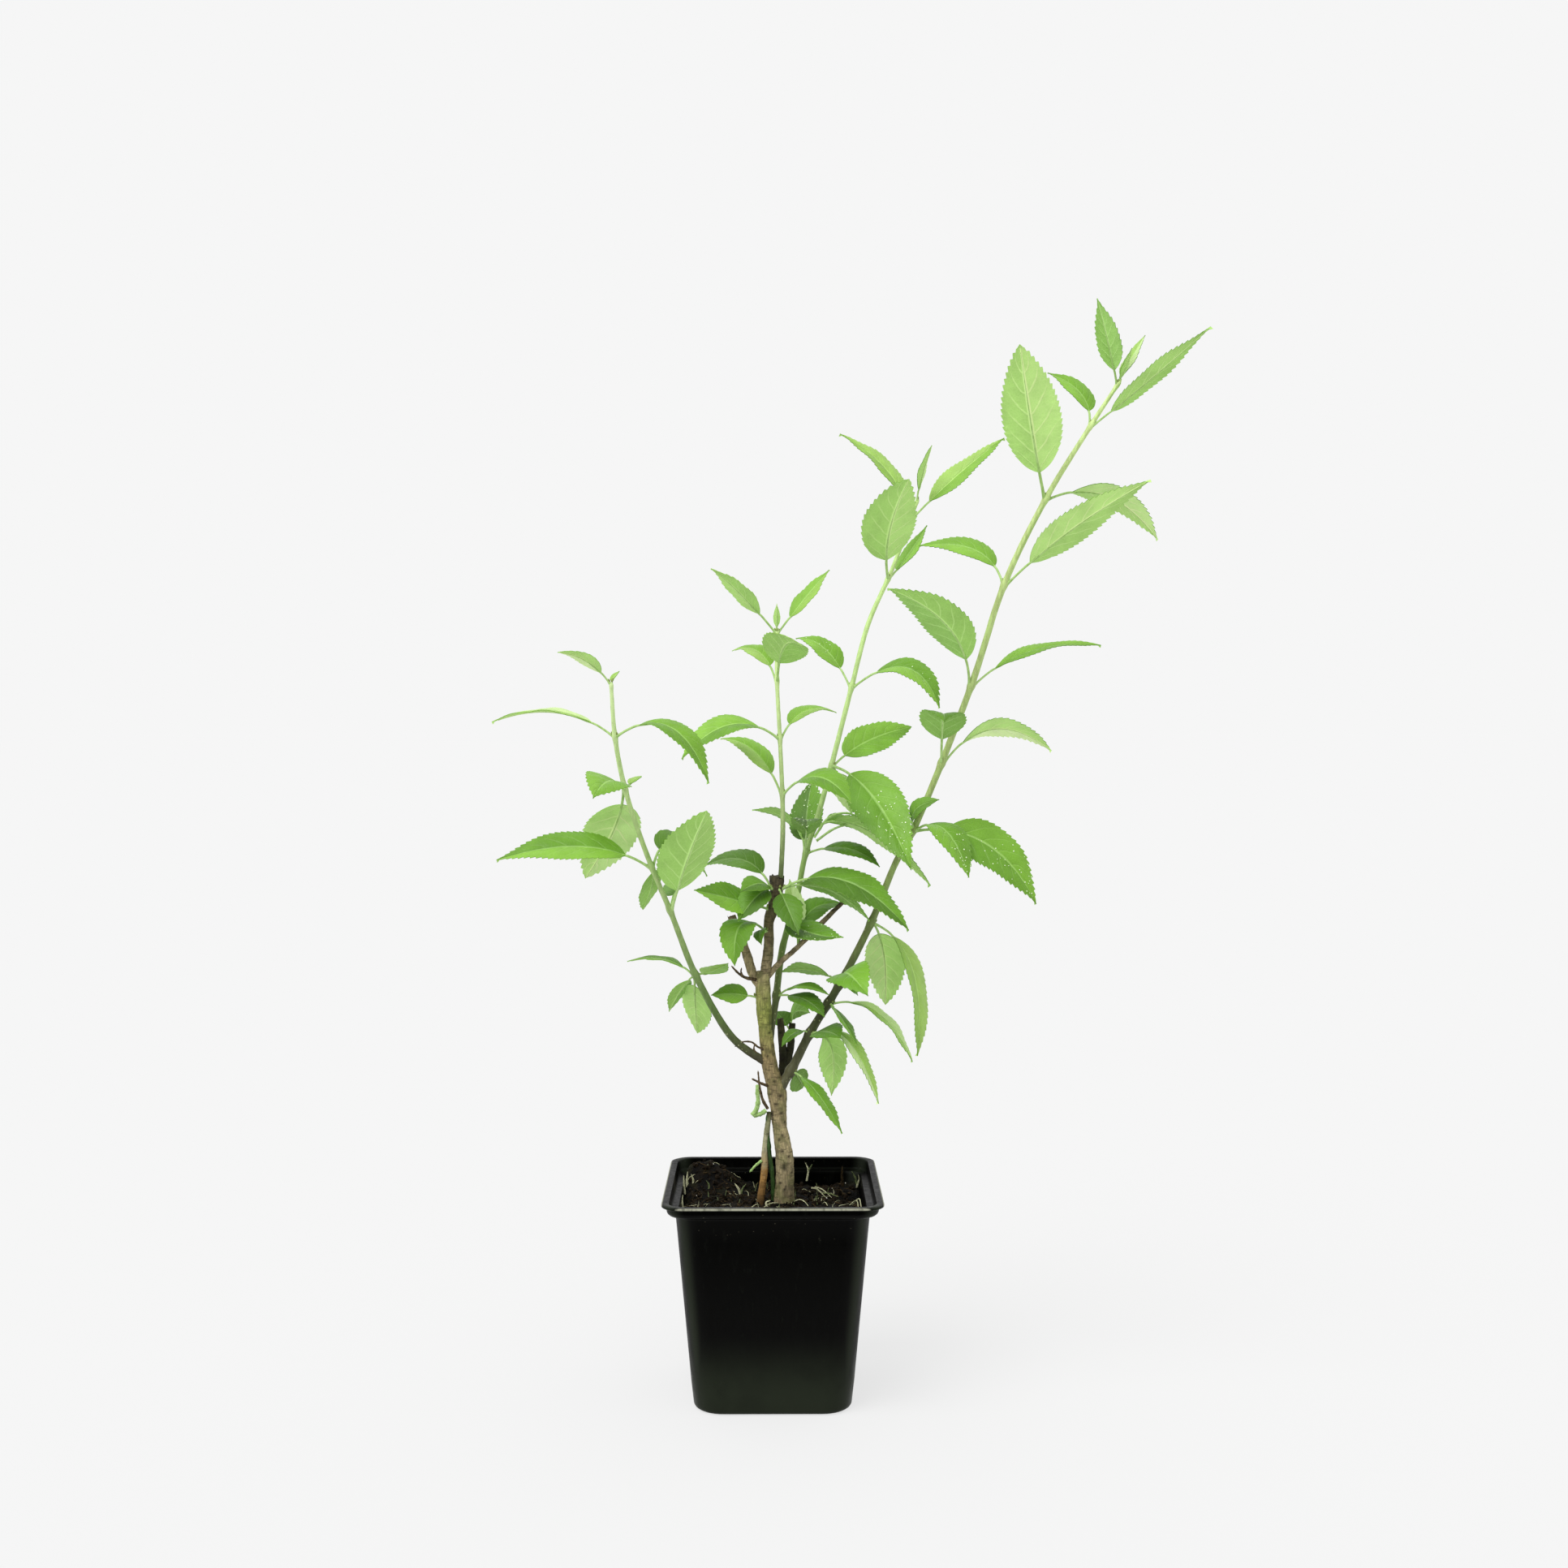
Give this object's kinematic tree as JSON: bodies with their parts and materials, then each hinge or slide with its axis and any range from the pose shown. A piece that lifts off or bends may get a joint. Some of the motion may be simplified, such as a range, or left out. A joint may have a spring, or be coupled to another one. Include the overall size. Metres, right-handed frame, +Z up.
{
  "type": "potted young forsythia shrub",
  "caption": "Young leafy shrub with pruned woody stem, slender arching shoots and paired toothed leaves, in a square tapered nursery pot.",
  "frame": {"origin": "centre of the pot's flat underside", "axes": "+Z up, -Y towards the pot's front wall, +X to the side that the tallest shoot leans to"},
  "size_m": [0.2874, 0.134, 0.4492],
  "materials": {
    "pot_plastic": "semi-gloss black moulded plastic",
    "compost": "moist dark peat compost",
    "bark": "grey-brown bark with dark lenticels",
    "deadwood": "dark weathered cut wood",
    "young_bark": "orange-brown young bark",
    "green_bark": "smooth green bark",
    "leaf": "satin green leaf"
  },
  "bodies": {
    "root": {"fork_centre": "deadwood", "fork_left": "deadwood", "fork_right": "deadwood", "leaves_centre_1": "leaf", "leaves_centre_2": "leaf", "leaves_centre_3": "leaf", "leaves_centre_4": "leaf", "leaves_crown_1": "leaf", "leaves_crown_2": "leaf", "leaves_crown_3": "leaf", "leaves_crown_4": "leaf", "leaves_left_1": "leaf", "leaves_left_2": "leaf", "leaves_left_3": "leaf", "leaves_left_4": "leaf", "leaves_left_5": "leaf", "leaves_left_6": "leaf", "leaves_middle_1": "leaf", "leaves_middle_2": "leaf", "leaves_middle_3": "leaf", "leaves_middle_4": "leaf", "leaves_middle_5": "leaf", "leaves_middle_6": "leaf", "leaves_middle_7": "leaf", "leaves_middle_8": "leaf", "leaves_right_1": "leaf", "leaves_right_10": "leaf", "leaves_right_11": "leaf", "leaves_right_12": "leaf", "leaves_right_2": "leaf", "leaves_right_3": "leaf", "leaves_right_4": "leaf", "leaves_right_5": "leaf", "leaves_right_6": "leaf", "leaves_right_7": "leaf", "leaves_right_8": "leaf", "leaves_right_9": "leaf", "leaves_stub_1": "leaf", "leaves_trunk_1": "leaf", "pot": "pot_plastic", "shoot_centre": "green_bark", "shoot_left": "green_bark", "shoot_middle": "green_bark", "shoot_right": "green_bark", "side_stem": "young_bark", "soil": "compost", "stub_left": "deadwood", "stub_right": "deadwood", "trunk": "bark"}
  },
  "joints": []
}
